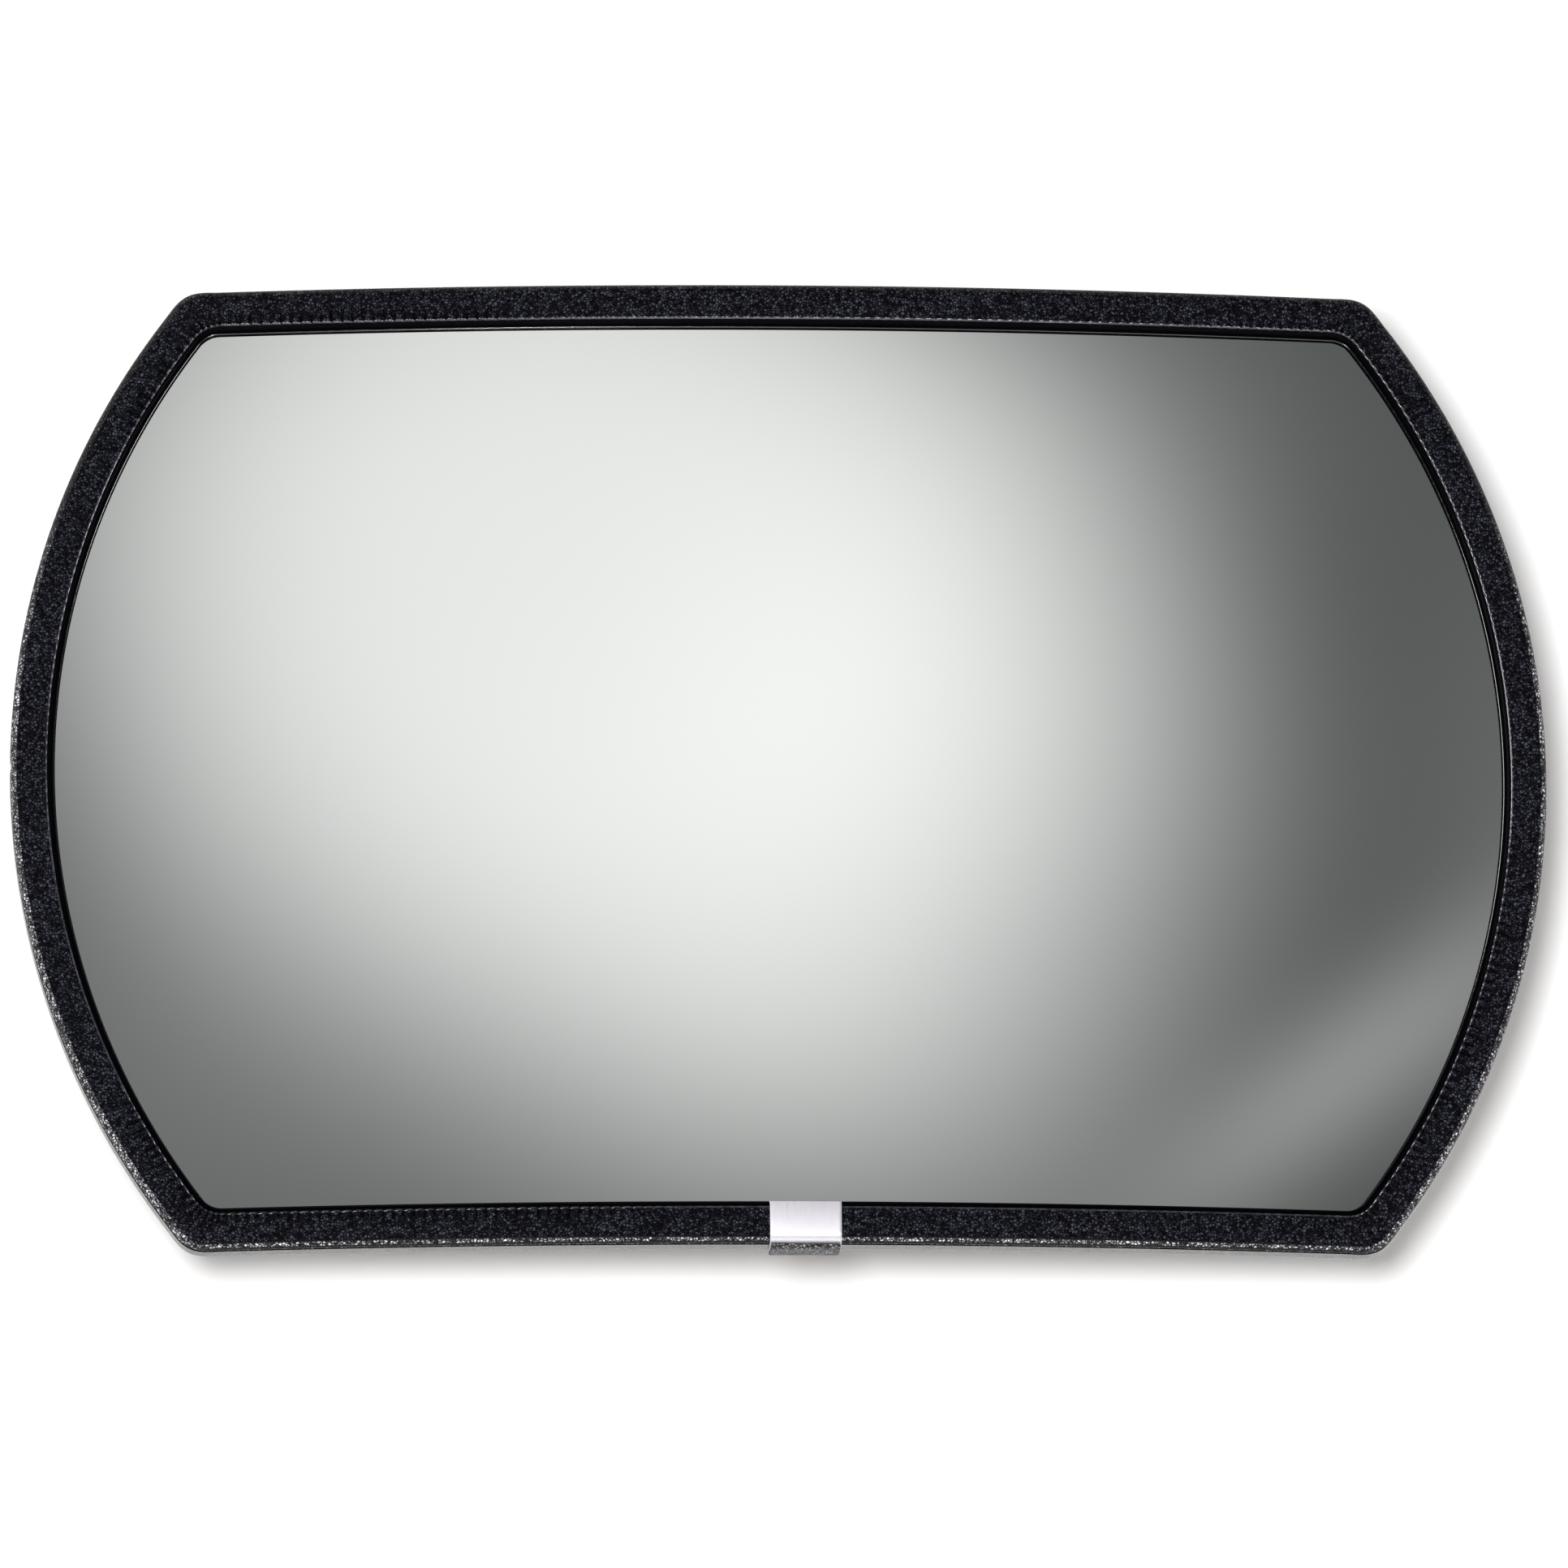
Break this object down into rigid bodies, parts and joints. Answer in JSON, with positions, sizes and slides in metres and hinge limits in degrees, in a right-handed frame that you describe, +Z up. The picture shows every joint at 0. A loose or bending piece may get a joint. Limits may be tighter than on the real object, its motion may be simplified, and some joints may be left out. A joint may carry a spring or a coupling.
{
  "type": "convex security mirror",
  "caption": "Wide convex mirror with bowed sides in a black vinyl edge trim, on a ball-and-socket wall bracket that pans, tilts and rolls.",
  "frame": {"origin": "centre of the wall plate's back face, which lies on the wall", "axes": "+Z up, +Y into the wall, so that the mirror looks along -Y; +X along the mirror's long side, to the right of someone who faces it"},
  "size_m": [0.6152, 0.222, 0.3946],
  "materials": {
    "mirror": "silvered acrylic, polished, faint waviness",
    "vinyl": "black vinyl with a pebble grain and a smooth glossy inner lip",
    "hardboard": "tempered brown hardboard with a woven screen texture",
    "carrier_steel": "plain rolled steel strip",
    "brushed_aluminium": "brushed along its length",
    "zinc_steel": "bright zinc plating on rolled sheet and tube",
    "zinc_hardware": "bright zinc plating",
    "polished_steel": "ground ball and threaded stud",
    "nylon": "natural nylon"
  },
  "bodies": {
    "wall_bracket": {"wall_plate": "zinc_steel", "arm_tube": "zinc_steel", "rear_clamp": "zinc_steel", "front_clamp": "zinc_steel", "clamp_bolt_left": "zinc_hardware", "clamp_bolt_right": "zinc_hardware", "clamp_washer_left": "zinc_hardware", "clamp_washer_right": "zinc_hardware"},
    "wing_nut_left": {"wing_nut_left": "zinc_hardware"},
    "wing_nut_right": {"wing_nut_right": "zinc_hardware"},
    "seat": {"ball_seat": "nylon"},
    "stud": {"ball_stud": "polished_steel", "stud_washer": "zinc_hardware", "stud_lock_nut": "zinc_hardware", "stud_inner_nut": "zinc_hardware"},
    "mirror": {"bridge_bracket": "zinc_steel", "board_screw_1": "zinc_hardware", "board_screw_2": "zinc_hardware", "board_screw_3": "zinc_hardware", "board_screw_4": "zinc_hardware", "board_nut_1": "zinc_hardware", "board_nut_2": "zinc_hardware", "board_nut_3": "zinc_hardware", "board_nut_4": "zinc_hardware", "backing_board": "hardboard", "mirror_lens": "mirror", "edge_trim": "vinyl", "trim_carrier": "carrier_steel", "joint_clip": "brushed_aluminium", "joint_splice": "vinyl"}
  },
  "joints": [
    {"name": "ball_pan", "type": "hinge", "parent": "wall_bracket", "child": "seat", "pos_m": [0, -0.155, 0], "axis": [0, 0, 1], "range_deg": [-20, 20]},
    {"name": "ball_tilt", "type": "hinge", "parent": "seat", "child": "stud", "pos_m": [0, -0.155, 0], "axis": [1, 0, 0], "range_deg": [-25, 25]},
    {"name": "mirror_roll", "type": "hinge", "parent": "stud", "child": "mirror", "pos_m": [0, -0.155, 0], "axis": [0, 1, 0], "range_deg": [-90, 90]},
    {"name": "wing_nut_left_turn", "type": "hinge", "parent": "wall_bracket", "child": "wing_nut_left", "pos_m": [-0.028, -0.145, 0], "axis": [0, 1, 0], "range_deg": [0, 180]},
    {"name": "wing_nut_right_turn", "type": "hinge", "parent": "wall_bracket", "child": "wing_nut_right", "pos_m": [0.028, -0.145, 0], "axis": [0, 1, 0], "range_deg": [0, 180]}
  ]
}
